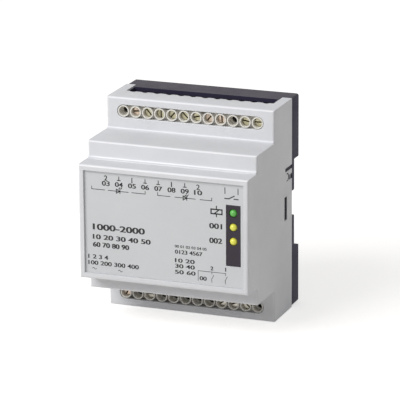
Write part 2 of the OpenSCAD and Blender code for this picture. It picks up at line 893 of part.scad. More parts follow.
// Winding on its bobbin, round the middle leg of the core
module transformer_coil() {
    hole = [core_leg / 2 + pin_gap, core_stack / 2 + pin_gap];
    flange_y = coil_y + bobbin_lip;
    color([0.6, 0.35, 0.2])
        translate([transformer_at[0], transformer_y, transformer_at[1]])
            difference() {
                union() {
                    span([-coil_x, coil_x], [-coil_y, coil_y], [-coil_z, coil_z]);
                    up_and_down()
                        span([-coil_x, coil_x], [-flange_y, flange_y], [coil_z - bobbin_t, coil_z]);
                }
                span([-hole[0], hole[0]], [-hole[1], hole[1]], [-coil_z - past, coil_z + past]);
            }
    leads(transformer_at, transformer_pins);
}

// Sealed output relay
module relay(at) {
    color([0.85, 0.85, 0.82])
        boxed_part(at, relay_half, relay_h);
    leads(at, relay_pins);
}

// Upright round capacitor with a groove round its can
module can(at, r, h) {
    color([0.12, 0.14, 0.3])
        difference() {
            rod(r, [board_y - h, board_y], at);
            difference() {
                rod(r + past, [board_y + groove_y[0], board_y + groove_y[1]], at);
                rod(r - groove_depth, [board_y + groove_y[0] - past, board_y], at);
            }
        }
    leads(at, capacitor_pins);
}

// Chip that reads the two channels and drives the relays
module controller_chip() {
    x = [chip_at[0] - chip_half[0], chip_at[0] + chip_half[0]];
    z = [chip_at[1] - chip_half[1], chip_at[1] + chip_half[1]];
    color([0.1, 0.1, 0.1])
        difference() {
            span(x, [board_y - chip_h - chip_lift, board_y - chip_lift], z);
            rod(chip_mark_r, [board_y - chip_h - past, board_y - chip_h], [x[0], chip_at[1]]);
        }
    color("silver")
        for (k = [1:chip_legs], s = [-1, 1])
            translate([chip_at[0] + (k - (chip_legs + 1) / 2) * chip_leg_pitch, board_y - chip_leg_l,
                chip_at[1] + s * (chip_half[1] + chip_leg_gap) - chip_leg_half[1]])
                translate([-chip_leg_half[0], 0, 0])
                    cube([2 * chip_leg_half[0], chip_leg_l, 2 * chip_leg_half[1]]);
}

// Receiver amplifier chips on the link board, one for each channel
module amplifier_chips() {
    y = (display_back_y + board_y) / 2;
    z = link_z + board_t;
    color([0.1, 0.1, 0.1])
        for (x = link_chip_x)
            span([x - link_chip[0] / 2, x + link_chip[0] / 2], [y - link_chip[1] / 2, y + link_chip[1] / 2],
                [z, z + link_chip[2]]);
}

// Round fuse of the supply
module fuse() {
    color([0.3, 0.15, 0.12])
        rod(fuse_r, [board_y - fuse_h, board_y], fuse_at);
}

// Disc that limits surges on the supply
module varistor() {
    y = board_y - varistor_r - varistor_lift;
    color([0.1, 0.25, 0.55])
        translate([varistor_at[0], y, varistor_at[1] - varistor_t / 2])
            cylinder(h = varistor_t, r = varistor_r);
    color("silver")
        for (s = [-1, 1])
            translate([varistor_at[0] + s * varistor_lead[0], y, varistor_at[1]])
                rotate([-90, 0, 0])
                    linear_extrude(height = board_y - y)
                        square(2 * varistor_lead[1], center = true);
}

front_cover();
rear_base();
front_label();
indicator_strip();
rail_clip();
clip_spring();
lamp(-1, "limegreen");  // power_lamp
lamp(0, "yellow");  // channel_1_lamp
lamp(1, "yellow");  // channel_2_lamp
terminal_block();  // upper_terminal_block
mirror([0, 0, 1]) terminal_block();  // lower_terminal_block
contacts(upper_ways);  // upper_contacts
mirror([0, 0, 1]) contacts(lower_ways);  // lower_contacts
for (k = [0:len(upper_ways) - 1]) {
    screw(upper_ways[k], upper_turns[upper_ways[k] - 1]);
    cage(upper_ways[k]);
}
for (k = [0:len(lower_ways) - 1]) {
    mirror([0, 0, 1]) screw(lower_ways[k], -lower_turns[lower_ways[k] - 1]);
    mirror([0, 0, 1]) cage(lower_ways[k]);
}
main_board();
display_board();
link_board();
transformer_core();
transformer_coil();
relay(relay_1_at);  // relay_1
relay(relay_2_at);  // relay_2
can(smoother_at, smoother_r, smoother_h);  // smoothing_capacitor
can(supply_at, supply_r, supply_h);  // supply_capacitor
controller_chip();
amplifier_chips();
fuse();
varistor();
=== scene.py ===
"""Photocell amplifier standing on a pale studio floor.

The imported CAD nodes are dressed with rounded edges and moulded, metal and printed finishes,
and the label print, the solder joints and the other fine pieces are added in the same frame.
"""
import math

import bmesh
import bpy
from mathutils import Matrix, Vector


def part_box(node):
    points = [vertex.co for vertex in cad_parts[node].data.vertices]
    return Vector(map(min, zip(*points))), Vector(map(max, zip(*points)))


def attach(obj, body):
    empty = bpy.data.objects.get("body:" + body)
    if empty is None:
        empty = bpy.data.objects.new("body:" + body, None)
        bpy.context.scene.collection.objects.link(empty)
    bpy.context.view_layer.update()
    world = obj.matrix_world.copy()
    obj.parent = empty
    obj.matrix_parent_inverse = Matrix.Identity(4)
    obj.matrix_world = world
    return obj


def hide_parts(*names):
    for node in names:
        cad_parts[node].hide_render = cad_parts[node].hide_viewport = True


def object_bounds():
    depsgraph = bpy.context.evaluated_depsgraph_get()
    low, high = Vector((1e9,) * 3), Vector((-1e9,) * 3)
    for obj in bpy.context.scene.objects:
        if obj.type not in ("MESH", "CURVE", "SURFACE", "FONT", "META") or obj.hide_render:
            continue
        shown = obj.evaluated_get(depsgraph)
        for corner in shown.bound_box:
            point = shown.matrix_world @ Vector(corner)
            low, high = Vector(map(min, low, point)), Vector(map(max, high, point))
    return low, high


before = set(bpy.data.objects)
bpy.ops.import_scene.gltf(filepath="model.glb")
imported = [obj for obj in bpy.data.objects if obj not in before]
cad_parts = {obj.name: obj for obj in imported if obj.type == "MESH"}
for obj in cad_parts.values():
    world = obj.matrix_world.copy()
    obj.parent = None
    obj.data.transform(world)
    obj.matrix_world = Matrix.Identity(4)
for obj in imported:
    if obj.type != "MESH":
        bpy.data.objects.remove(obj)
cad_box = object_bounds()

MM = 0.001

# Camera, from a fit to the edges of the housing in the photograph
CAMERA_AT = Vector((413.744, -1087.317, 338.603)) * MM
CAMERA_AZIMUTH = math.radians(21.061)
CAMERA_ELEVATION = math.radians(16.349)
CAMERA_ROLL = math.radians(-0.409)
CAMERA_LENS = 272.78


# Colours

def tint(red, green, blue):
    """A screen colour of 0 to 255 a channel as the linear colour that shaders take."""
    def linear(value):
        value /= 255
        return value / 12.92 if value <= 0.04045 else ((value + 0.055) / 1.055) ** 2.4
    return (linear(red), linear(green), linear(blue), 1.0)


# Shader building

def join(value, socket):
    """Links a value to the socket that takes it."""
    socket.id_data.links.new(value, socket)


def add(tree, kind, plugs=None, **settings):
    """Adds a shader node. plugs gives its inputs by name or number: a value, or a socket to link."""
    made = tree.nodes.new("ShaderNode" + kind)
    for name, value in settings.items():
        setattr(made, name, value)
    for name, value in (plugs or {}).items():
        if isinstance(value, bpy.types.NodeSocket):
            join(value, made.inputs[name])
        else:
            made.inputs[name].default_value = value
    return made


def maths(tree, operation, first, second=0.0, clamp=False):
    """The result of one arithmetic node."""
    return add(tree, "Math", {0: first, 1: second}, operation=operation, use_clamp=clamp).outputs[0]


def times(tree, first, second):
    """One value multiplied by another."""
    return maths(tree, "MULTIPLY", first, second)


def away_from(tree, value, middle):
    """How far a value lies from another, on either side."""
    return maths(tree, "ABSOLUTE", maths(tree, "SUBTRACT", value, middle))


def parts_of(tree, vector):
    """The X, Y and Z of a vector."""
    return add(tree, "SeparateXYZ", {0: vector}).outputs


def mixed(tree, share, first, second):
    """One colour blended into another."""
    return add(tree, "Mix", {0: share, 6: first, 7: second}, data_type="RGBA").outputs[2]


def ramped(tree, value, low, high, to_low=0.0, to_high=1.0):
    """A value stretched from one range to another, and held at its ends."""
    return add(tree, "MapRange", {0: value, 1: low, 2: high, 3: to_low, 4: to_high}).outputs[0]


def noise(tree, vector, scale, detail=2.0, roughness=0.5):
    """Even noise from 0 to 1."""
    plugs = {"Vector": vector, "Scale": scale, "Detail": detail, "Roughness": roughness}
    return add(tree, "TexNoise", plugs).outputs[0]


def cells(tree, size):
    """The scale of a pattern whose cells have a size in millimetres."""
    return maths(tree, "DIVIDE", 1 / MM, size)


def object_place(tree):
    """Coordinates of the piece itself, in metres."""
    return add(tree, "TexCoord").outputs["Object"]


def surface_normal(tree):
    """The direction that the surface faces."""
    return add(tree, "NewGeometry").outputs["Normal"]


def new_group(name, inputs, outputs):
    """An empty node group for plain values, and the sockets to build it between."""
    tree = bpy.data.node_groups.new(name, "ShaderNodeTree")
    for label, value in inputs.items():
        socket = tree.interface.new_socket(label, in_out="INPUT", socket_type="NodeSocketFloat")
        socket.default_value = value
    for label in outputs:
        tree.interface.new_socket(label, in_out="OUTPUT", socket_type="NodeSocketFloat")
    return tree, tree.nodes.new("NodeGroupInput").outputs, tree.nodes.new("NodeGroupOutput").inputs


def use_group(tree, group, **plugs):
    """Places a node group in a material."""
    made = tree.nodes.new("ShaderNodeGroup")
    made.node_tree = group
    for name, value in plugs.items():
        made.inputs[name.capitalize()].default_value = value
    return made.outputs


def moulded_grain():
    """Spark-eroded grain of a mould, and the broad mottling of its plastic."""
    tree, given, out = new_group("moulded grain", {"Grain": 0.3, "Cloud": 14.0}, ("Height", "Mottle"))
    place = object_place(tree)
    fine = noise(tree, place, cells(tree, given["Grain"]), 3.0, 0.6)
    pit_scale = times(tree, cells(tree, given["Grain"]), 0.7)
    pits = add(tree, "TexVoronoi", {"Vector": place, "Scale": pit_scale}).outputs[0]
    join(maths(tree, "ADD", fine, times(tree, pits, 0.35)), out["Height"])
    cloud = noise(tree, place, cells(tree, given["Cloud"]), 4.0, 0.62)
    join(ramped(tree, cloud, 0.3, 0.7), out["Mottle"])
    return tree


def rubbed_and_highlit_edges():
    """Where the edges of a piece are rounded over, broken up a little: the mask of lighter edges, partly wear
    and partly a painted highlight.
    """
    tree, given, out = new_group("edge wear and painted highlight", {"Reach": 0.4}, ("Mask",))
    reach = times(tree, given["Reach"], MM)
    rounded = add(tree, "Bevel", {"Radius": reach}, samples=6).outputs[0]
    both = {0: rounded, 1: surface_normal(tree)}
    alike = add(tree, "VectorMath", both, operation="DOT_PRODUCT").outputs["Value"]
    turn = ramped(tree, alike, 0.995, 0.86)
    break_up = ramped(tree, noise(tree, object_place(tree), 420.0, 3.0), 0.3, 0.62, 0.55, 1.0)
    join(times(tree, turn, break_up), out["Mask"])
    return tree


def painted_round_highlight():
    """Mask of a painted highlight where a face lies between the directions of the walls, most of all on the
    level round edges.
    """
    tree, given, out = new_group("rounded over", {"Flat": 0.97}, ("Mask",))
    facing = add(tree, "VectorMath", {0: surface_normal(tree)}, operation="ABSOLUTE").outputs[0]
    side = parts_of(tree, facing)
    most = maths(tree, "MAXIMUM", side["X"], maths(tree, "MAXIMUM", side["Y"], side["Z"]))
    level = ramped(tree, side["X"], 0.3, 0.6, 1.0, 0.2)
    join(times(tree, ramped(tree, most, given["Flat"], 0.84), level), out["Mask"])
    return tree


def settled_dust():
    """Fine dust on what faces up, thicker in patches."""
    tree, given, out = new_group("settled dust", {"Patch": 6.0}, ("Mask",))
    up = ramped(tree, parts_of(tree, surface_normal(tree))["Z"], 0.45, 0.95)
    place = object_place(tree)
    patch = ramped(tree, noise(tree, place, cells(tree, given["Patch"]), 5.0, 0.65), 0.3, 0.8, 0.45, 0.9)
    speck = ramped(tree, noise(tree, place, 2600.0, 1.0), 0.62, 0.74)
    cover = maths(tree, "ADD", patch, times(tree, speck, 0.2), clamp=True)
    join(times(tree, up, cover), out["Mask"])
    return tree


def fine_scratches():
    """Short hairline scratches in two directions."""
    tree, given, out = new_group("fine scratches", {"Spread": 9.0}, ("Height", "Mask"))
    place = object_place(tree)
    marks = []
    drawn_out = (110.0, 110.0, 5200.0)
    for turn in (0.35, -0.9):
        lines = add(tree, "Mapping", {0: place, 2: (0.2, turn, turn * 0.5), 3: drawn_out}).outputs[0]
        marks.append(ramped(tree, noise(tree, lines, 1.0, 1.0), 0.66, 0.74))
    both = maths(tree, "MAXIMUM", marks[0], marks[1])
    where = ramped(tree, noise(tree, place, cells(tree, given["Spread"])), 0.45, 0.62)
    mask = times(tree, both, where)
    join(mask, out["Mask"])
    join(times(tree, mask, -1.0), out["Height"])
    return tree


def lathe_marks():
    """Rings that a turning tool leaves, from the distance to the axis in the piece's UV map."""
    tree, given, out = new_group("lathe marks", {"Rings": 90.0}, ("Height", "Stain"))
    radius = parts_of(tree, add(tree, "TexCoord").outputs["UV"])["Y"]
    rings = {"W": radius, "Scale": given["Rings"], "Detail": 2.0}
    join(add(tree, "TexNoise", rings, noise_dimensions="1D").outputs[0], out["Height"])
    stain = noise(tree, object_place(tree), 900.0, 3.0, 0.6)
    join(ramped(tree, stain, 0.35, 0.65), out["Stain"])
    return tree


GRAIN = moulded_grain()
EDGES = rubbed_and_highlit_edges()
ROUND_HIGHLIGHT = painted_round_highlight()
DUST = settled_dust()
SCRATCHES = fine_scratches()
LATHE = lathe_marks()


def new_material(name, **sockets):
    """A material with one Principled shader, whose plain sockets are set on the shader itself."""
    made = bpy.data.materials.new(name)
    made.use_nodes = True
    shader = made.node_tree.nodes["Principled BSDF"]
    for socket, value in sockets.items():
        shader.inputs[socket.replace("_", " ")].default_value = value
    return made, made.node_tree, shader.inputs


def surface(tree, into, colour, height, depth, dull=None):
    """Gives a shader its colour, a relief of that depth in millimetres, and a roughness if it varies."""
    bump = add(tree, "Bump", {"Height": height, "Distance": depth * MM, "Strength": 1.0})
    join(bump.outputs[0], into["Normal"])
    join(colour, into["Base Color"])
    if dull:
        join(dull, into["Roughness"])


def edged(tree, body, edge, reach, share):
    """A colour with a lighter one blended in along the edges, partly as wear and partly as a painted
    highlight.
    """
    rim = use_group(tree, EDGES, reach=reach)["Mask"]
    return mixed(tree, times(tree, rim, share), body, edge)


def plastic(name, colour, shade, edge, roughness=0.45, grain=0.3, depth=0.008, edge_share=0.5, reach=0.4,
            dust=0.1, **sockets):
    """Moulded plastic: grain, mottling towards a second tone, lighter edges that are partly wear and partly a
    painted highlight, dust on top and a few scratches.
    """
    made, tree, into = new_material(name, **sockets)
    colour, shade, edge = tint(*colour), tint(*shade), tint(*edge)
    mould = use_group(tree, GRAIN, grain=grain)
    worn_and_lit = use_group(tree, EDGES, reach=reach)["Mask"]
    rim = maths(tree, "MAXIMUM", worn_and_lit, use_group(tree, ROUND_HIGHLIGHT)["Mask"])
    lint = use_group(tree, DUST)["Mask"]
    lines = use_group(tree, SCRATCHES)
    body = mixed(tree, mould["Mottle"], colour, shade)
    # Lighter along the edges and rounds: a painted highlight, with a little wear on the sharp edges
    body = mixed(tree, times(tree, rim, edge_share), body, edge)
    body = mixed(tree, times(tree, lint, dust), body, tint(196, 192, 184))
    dull = ramped(tree, mould["Mottle"], 0.0, 1.0, roughness - 0.04, roughness + 0.05)
    dull = maths(tree, "ADD", dull, times(tree, lint, 0.2))
    dull = maths(tree, "SUBTRACT", dull, times(tree, lines["Mask"], 0.1))
    height = maths(tree, "ADD", mould["Height"], times(tree, lines["Height"], 0.4))
    surface(tree, into, body, height, depth, dull)
    return made


def metal(name, colour, stain, roughness=0.32, stain_share=0.6):
    """Turned or stamped metal, stained in patches and scratched."""
    made, tree, into = new_material(name, Metallic=1.0)
    colour, stain = tint(*colour), tint(*stain)
    turned = use_group(tree, LATHE)
    lines = use_group(tree, SCRATCHES, spread=3.0)
    body = mixed(tree, times(tree, turned["Stain"], stain_share), colour, stain)
    body = edged(tree, body, tint(240, 232, 205), 0.15, 0.3)
    dull = ramped(tree, turned["Stain"], 0.0, 1.0, roughness, roughness + 0.18)
    surface(tree, into, body, maths(tree, "ADD", turned["Height"], lines["Height"]), 0.004, dull)
    return made


def cove_finish():
    """The cover's plastic in the cove of a tier, with lines of painted highlight along the sweep:
    one under the wall of the tier, and on the front tier one more at the foot."""
    made, tree, into = new_material("cover cove", Roughness=0.4)
    facing = parts_of(tree, surface_normal(tree))
    place = parts_of(tree, object_place(tree))
    up = maths(tree, "ABSOLUTE", facing["Z"])
    on_front = maths(tree, "LESS_THAN", place["Y"], -40 * MM)
    upper = maths(tree, "SUBTRACT", 1.0, ramped(tree, away_from(tree, up, 0.54), 0.05, 0.13))
    upper = times(tree, upper, ramped(tree, on_front, 0.0, 1.0, 0.4, 0.7))
    lower = times(tree, ramped(tree, up, 0.92, 0.99), on_front)
    level = ramped(tree, maths(tree, "ABSOLUTE", facing["X"]), 0.3, 0.6, 1.0, 0.0)
    middle = ramped(tree, maths(tree, "ABSOLUTE", place["X"]), 31 * MM, 34 * MM, 1.0, 0.0)
    # Painted highlight: the lines follow the way the cove faces, not the lamps
    line = times(tree, maths(tree, "MAXIMUM", upper, lower), times(tree, level, middle))
    mould = use_group(tree, GRAIN, grain=0.34)
    body = mixed(tree, mould["Mottle"], tint(222, 223, 227), tint(217, 218, 223))
    surface(tree, into, mixed(tree, line, body, tint(254, 254, 255)), mould["Height"], 0.004)
    return made


def foil():
    """Printed polyester foil of the label: even, a little silky, with hardly any grain."""
    made, tree, into = new_material("label foil", Coat_Weight=0.15, Coat_Roughness=0.3)
    mould = use_group(tree, GRAIN, grain=0.16, cloud=22.0)
    lines = use_group(tree, SCRATCHES, spread=14.0)
    body = mixed(tree, mould["Mottle"], tint(210, 212, 214), tint(206, 208, 210))
    body = edged(tree, body, tint(228, 229, 230), 0.35, 0.7)
    dull = ramped(tree, mould["Mottle"], 0.0, 1.0, 0.36, 0.44)
    dull = maths(tree, "SUBTRACT", dull, times(tree, lines["Mask"], 0.08))
    surface(tree, into, body, mould["Height"], 0.0025, dull)
    return made


def print_ink():
    """Screen print: near black, thin in places, slightly glossier than the foil."""
    made, tree, into = new_material("print ink")
    place = object_place(tree)
    thin = ramped(tree, noise(tree, place, 1800.0, 3.0, 0.7), 0.4, 0.8)
    body = mixed(tree, thin, tint(24, 22, 26), tint(46, 44, 50))
    surface(tree, into, body, noise(tree, place, 4200.0), 0.003, ramped(tree, thin, 0.0, 1.0, 0.3, 0.5))
    return made


def smoked_window():
    """Dark violet tinted acrylic of the indicator strip."""
    made, tree, into = new_material("smoked strip", Specular_IOR_Level=0.3, IOR=1.49)
    mould = use_group(tree, GRAIN, grain=0.5, cloud=5.0)
    lines = use_group(tree, SCRATCHES, spread=4.0)
    body = mixed(tree, mould["Mottle"], tint(50, 45, 48), tint(54, 46, 62))
    body = edged(tree, body, tint(92, 88, 94), 0.3, 0.35)
    dull = ramped(tree, lines["Mask"], 0.0, 1.0, 0.28, 0.5)
    surface(tree, into, body, mould["Height"], 0.002, dull)
    return made


def lamp_lens(name, colour, rim_colour, glow):
    """Milky, tinted lens of a lamp that is lit: brightest at its crown and deeper round its rim."""
    coat = {"Coat_Weight": 0.25, "Coat_Roughness": 0.1}
    made, tree, into = new_material(name, IOR=1.5, Emission_Strength=glow, **coat)
    forward = times(tree, parts_of(tree, surface_normal(tree))["Y"], -1.0)
    milk = noise(tree, object_place(tree), 1500.0, 3.0)
    crown = times(tree, ramped(tree, forward, 0.0, 0.8), ramped(tree, milk, 0.2, 0.8, 0.9, 1.0))
    body = mixed(tree, crown, tint(*rim_colour), tint(*colour))
    join(body, into["Base Color"])
    join(body, into["Emission Color"])
    join(ramped(tree, milk, 0.3, 0.7, 0.2, 0.32), into["Roughness"])
    return made


# The edge colours of the cover and the base are mostly a painted highlight along their edges and rounds
COVER = plastic("cover light grey", (223, 224, 227), (218, 219, 223), (246, 246, 250),
                roughness=0.42, grain=0.34, depth=0.007, edge_share=0.7, reach=0.6, dust=0.03)
BASE = plastic("base slate", (51, 48, 68), (44, 41, 60), (132, 130, 138), roughness=0.58,
               grain=0.42, depth=0.01, reach=0.3, dust=0.2, Specular_IOR_Level=0.14)
# A darker copy of the base plastic, as painted shade: in the windows of the catches and on the ribs in the
# slit and cut of each side
CATCH = plastic("catch slate painted shade", (46, 44, 54), (41, 39, 49), (64, 62, 70), roughness=0.6,
                grain=0.42, depth=0.01, edge_share=0.2, reach=0.2, Specular_IOR_Level=0.1)
RIB_GREY = plastic("rib grey", (128, 126, 132), (120, 118, 124), (150, 148, 152), roughness=0.6)
COVE = cove_finish()
LABEL = foil()
INK = print_ink()
STRIP = smoked_window()
GREEN_LENS = lamp_lens("green lens", (92, 180, 76), (66, 150, 54), 0.1)
YELLOW_LENS = lamp_lens("yellow lens", (230, 228, 84), (208, 202, 62), 0.1)
IVORY = plastic("terminal ivory", (230, 227, 220), (222, 218, 208), (250, 249, 244),
                roughness=0.35, grain=0.2, depth=0.004, edge_share=0.8, reach=0.25, dust=0.02)
# A darker grey copy of the terminal plastic: painted shade on the face of the block between its tubes
TERMINAL_SHADE_GREY = plastic("terminal painted shade grey", (146, 141, 136), (130, 125, 120), (174, 169, 162),
                        roughness=0.5, grain=0.25, depth=0.006, edge_share=0.3, dust=0.04)
SCREW_BRASS = metal("screw passivated", (200, 196, 170), (158, 151, 118))
SCREW_COPPERY = metal("screw coppery", (212, 196, 180), (168, 149, 130))
SCREW_PALE = metal("screw pale zinc", (208, 204, 194), (168, 163, 148))
# Dark finish of the faces in a screw's slot: painted shade
SLOT_SHADE = metal("screw slot painted shade", (96, 88, 62), (58, 52, 38), roughness=0.5)
CAGE_STEEL = metal("cage zinc", (198, 196, 188), (160, 158, 150))
CONTACT_TIN = metal("contact tin", (206, 202, 190), (176, 168, 150))
SPRING_STEEL = metal("spring steel", (190, 190, 194), (140, 138, 140), roughness=0.25)
CLIP = plastic("clip black", (44, 44, 47), (36, 36, 39), (86, 86, 90),
               roughness=0.42, grain=0.4, depth=0.01, edge_share=0.4, dust=0.12)


def circuit_board():
    """Green solder mask over copper traces, which run up or across from one square to the next."""
    made, tree, into = new_material("board mask", Coat_Weight=0.3, Coat_Roughness=0.2)
    grid = 2.54 * MM
    core, fade = 0.22 * MM, 0.3 * MM
    place = object_place(tree)
    square = add(tree, "VectorMath", {0: place, 1: (grid,) * 3}, operation="SNAP").outputs[0]
    offset = add(tree, "VectorMath", {0: place, 1: square}, operation="SUBTRACT").outputs[0]
    chance = add(tree, "TexWhiteNoise", {0: square}, noise_dimensions="3D").outputs[0]
    runs = []
    for way, side, limit in (("X", "GREATER_THAN", 0.42), ("Z", "LESS_THAN", 0.5)):
        from_line = away_from(tree, parts_of(tree, offset)[way], grid / 2)
        line = ramped(tree, from_line, core, fade, 1.0, 0.0)
        runs.append(times(tree, line, maths(tree, side, chance, limit)))
    trace = maths(tree, "ADD", *runs, clamp=True)
    mould = use_group(tree, GRAIN, grain=0.5)
    body = mixed(tree, mould["Mottle"], tint(30, 88, 56), tint(26, 78, 50))
    body = mixed(tree, trace, body, tint(62, 122, 74))
    body = edged(tree, body, tint(158, 160, 108), 0.3, 1.0)
    height = maths(tree, "ADD", trace, times(tree, mould["Height"], 0.2))
    surface(tree, into, body, height, 0.02, ramped(tree, mould["Mottle"], 0.0, 1.0, 0.3, 0.4))
    return made


def winding_tape():
    """Amber tape over the winding, with the wires showing through as fine ridges."""
    made, tree, into = new_material("winding tape", Coat_Weight=0.4, Coat_Roughness=0.15)
    wire_pitch = 0.42 * MM
    along = times(tree, parts_of(tree, object_place(tree))["Z"], 2 * math.pi / wire_pitch)
    wires = ramped(tree, maths(tree, "SINE", along), -1.0, 1.0)
    cloud = use_group(tree, GRAIN, grain=0.3, cloud=8.0)["Mottle"]
    body = mixed(tree, wires, tint(168, 104, 40), tint(206, 140, 56))
    body = mixed(tree, times(tree, cloud, 0.5), body, tint(190, 120, 44))
    surface(tree, into, body, wires, 0.05, ramped(tree, cloud, 0.0, 1.0, 0.28, 0.42))
    return made


def can_sleeve():
    """Shrunk dark blue sleeve of a capacitor, wrinkled a little."""
    made, tree, into = new_material("can sleeve", Coat_Weight=0.5, Coat_Roughness=0.12)
    wrinkle = noise(tree, object_place(tree), 900.0, 3.0)
    body = mixed(tree, ramped(tree, wrinkle, 0.3, 0.7), tint(34, 38, 74), tint(28, 31, 62))
    body = edged(tree, body, tint(84, 88, 124), 0.4, 0.4)
    surface(tree, into, body, wrinkle, 0.03, ramped(tree, wrinkle, 0.3, 0.7, 0.25, 0.4))
    return made


BOARD = circuit_board()
TAPE = winding_tape()
SLEEVE = can_sleeve()
BOBBIN = plastic("bobbin black", (38, 37, 38), (31, 30, 31), (78, 76, 76), grain=0.4, dust=0.03)
CORE_IRON = metal("core iron", (112, 110, 112), (82, 70, 62), roughness=0.5, stain_share=0.8)
RELAY_CASE = plastic("relay case", (214, 211, 200), (206, 203, 190), (240, 238, 230),
                     roughness=0.36, edge_share=0.6, dust=0.03)
CHIP_EPOXY = plastic("chip epoxy", (40, 40, 42), (33, 33, 35), (72, 72, 74), roughness=0.6,
                     grain=0.18, depth=0.006, edge_share=0.3, dust=0.04)
FUSE_CASE = plastic("fuse case", (88, 44, 34), (78, 38, 30), (130, 84, 70), roughness=0.4)
DISC_COATING = plastic("disc coating", (34, 76, 148), (28, 66, 132), (80, 120, 180),
                       roughness=0.3, grain=0.8, depth=0.02, edge_share=0.3, Coat_Weight=0.4)
SOLDER = metal("solder", (196, 197, 200), (158, 158, 160), roughness=0.22, stain_share=0.4)
CAN_TOP = metal("can top", (206, 207, 209), (176, 176, 178), roughness=0.3)


# Pieces from the frame

def link(name, data):
    """Puts a mesh, a light or a lens in the scene as a new object at the origin."""
    made = bpy.data.objects.new(name, data)
    bpy.context.scene.collection.objects.link(made)
    return made


def mesh_of(name, work, *finishes):
    """A mesh of what a bmesh holds, with its finishes."""
    mesh = bpy.data.meshes.new(name)
    work.to_mesh(mesh)
    work.free()
    for finish in finishes:
        mesh.materials.append(finish)
    return mesh


def bench_mesh(node):
    """A bmesh of a CAD node with its doubles merged and its flat faces whole."""
    work = bmesh.new()
    work.from_mesh(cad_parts[node].data)
    bmesh.ops.remove_doubles(work, verts=work.verts, dist=0.002 * MM)
    bmesh.ops.dissolve_limit(work, angle_limit=math.radians(0.5), verts=work.verts, edges=work.edges)
    return work


def soften(work, shortest, share):
    """Smooths what is round, keeps what is sharp, and marks the edges that the bevel takes."""
    sharp, rounded = 28, 35
    weight = work.edges.layers.float.new("bevel_weight_edge")
    for face in work.faces:
        face.smooth = True
    for edge in work.edges:
        angle = math.degrees(edge.calc_face_angle(0))
        edge.smooth = angle < sharp
        edge[weight] = float(angle > rounded and edge.is_convex and edge.calc_length() > shortest * MM)
        if share:
            edge[weight] *= share(edge)


def split_faces(work, plane_y=-1.0):
    """Parts the flat faces in front of a plane into convex ones, so that rounding can't fold them."""
    front = [face for face in work.faces if face.calc_center_median().y < plane_y * MM]
    bmesh.ops.connect_verts_concave(work, faces=front)


def dressed(node, *finishes, slot, body="housing", round_by=0.15, segments=2, shortest=0.0, where=None,
            shape=None, share=None):
    """Copies a CAD node with rounded edges and its finishes. where picks each face's finish by number,
    shape changes the mesh first, and share gives how much of the rounding an edge gets."""
    work = bench_mesh(node)
    if shape:
        shape(work)
    soften(work, shortest, share)
    if where:
        for face in work.faces:
            face.material_index = int(where(face.calc_center_median() / MM, face.normal))
    made = link(node + "_finished", mesh_of(node + " mesh", work, *finishes))
    if round_by:
        bevel = made.modifiers.new("rounded edges", "BEVEL")
        bevel.limit_method = "WEIGHT"
        bevel.width = round_by * MM
        bevel.segments = segments
        bevel.use_clamp_overlap = False
        bevel.harden_normals = True
    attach(made, body)
    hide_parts(node)


def finished(name, work, *finishes, slot, body="housing", smooth=True):
    """Turns a bmesh made here into a piece that rides on a body."""
    bmesh.ops.recalc_face_normals(work, faces=work.faces)
    for face in work.faces:
        face.smooth = smooth
    made = link(name, mesh_of(name + " mesh", work, *finishes))
    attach(made, body)
    return made


def block(work, place, size):
    """A plain block in the mesh, its middle and size in millimetres."""
    at = Matrix.Translation(Vector(place) * MM)
    return bmesh.ops.create_cube(work, size=1.0, matrix=at @ Matrix.Diagonal((*(Vector(size) * MM), 1)))


# Housing

HALF_WIDTH = 35.0
HALF_HEIGHT = 43.0
# Where one tier stands on the next: y, z, and the radius of the cove in the corner
TIER_FEET = ((-43.0, 23.0, 1.4), (-23.5, 30.0, 1.1))
# Windows of the snap catches: from y to y, and how far they reach up and down from the middle
CATCH_WINDOW = ((-11.6, -8.6), 4.8)
NEAR = 0.05


def in_catch_window(at):
    """Whether a place lies in the window of a snap catch, in one side of the cover."""
    (front, back), reach = CATCH_WINDOW
    return abs(at.x) > 31.5 and front - NEAR < at.y < back + NEAR and abs(at.z) < reach + NEAR


def at_foot(at, foot):
    """Whether a place lies in the corner at the foot of a tier, above or below."""
    y, z, _ = foot
    return -NEAR < at.y - y < 1 + NEAR and abs(abs(at.z) - z) < NEAR


def cover_rounding(edge):
    """Share of the rounding that an edge of the cover gets: none in the corners that the coves fill,
    and little round the windows of the catches."""
    ends = [vert.co / MM for vert in edge.verts]
    if any(all(at_foot(end, foot) for end in ends) for foot in TIER_FEET):
        return 0.0
    return 0.15 if all(in_catch_window(end) for end in ends) else 1.0


def tier_coves():
    """The coves where one tier stands on the next, above and below."""
    work = bmesh.new()
    half, sunk, steps = 34.7, 0.05, 16
    arc = [math.radians(90 * k / steps) for k in range(steps + 1)]
    for foot_y, foot_z, r in TIER_FEET:
        outline = [(foot_y - r * (1 - math.cos(a)), foot_z + r * (1 - math.sin(a))) for a in arc]
        outline += [(foot_y - r, foot_z - sunk), (foot_y + sunk, foot_z - sunk), (foot_y + sunk, foot_z + r)]
        for side in (1, -1):
            end = work.faces.new([work.verts.new((-half * MM, y * MM, side * z * MM)) for y, z in outline])
            grown = bmesh.ops.extrude_face_region(work, geom=[end])["geom"]
            far_end = [item for item in grown if isinstance(item, bmesh.types.BMVert)]
            bmesh.ops.translate(work, vec=(2 * half * MM, 0, 0), verts=far_end)
    bmesh.ops.recalc_face_normals(work, faces=work.faces)
    for edge in work.edges:
        edge.smooth = edge.calc_face_angle(0) < math.radians(20)
    finished("tier_coves", work, COVE, slot="cover")


def front_cover():
    """The stepped cover, and the coves between its tiers."""
    dressed("front_cover", COVER, slot="cover", round_by=0.18, segments=3, share=cover_rounding)
    tier_coves()


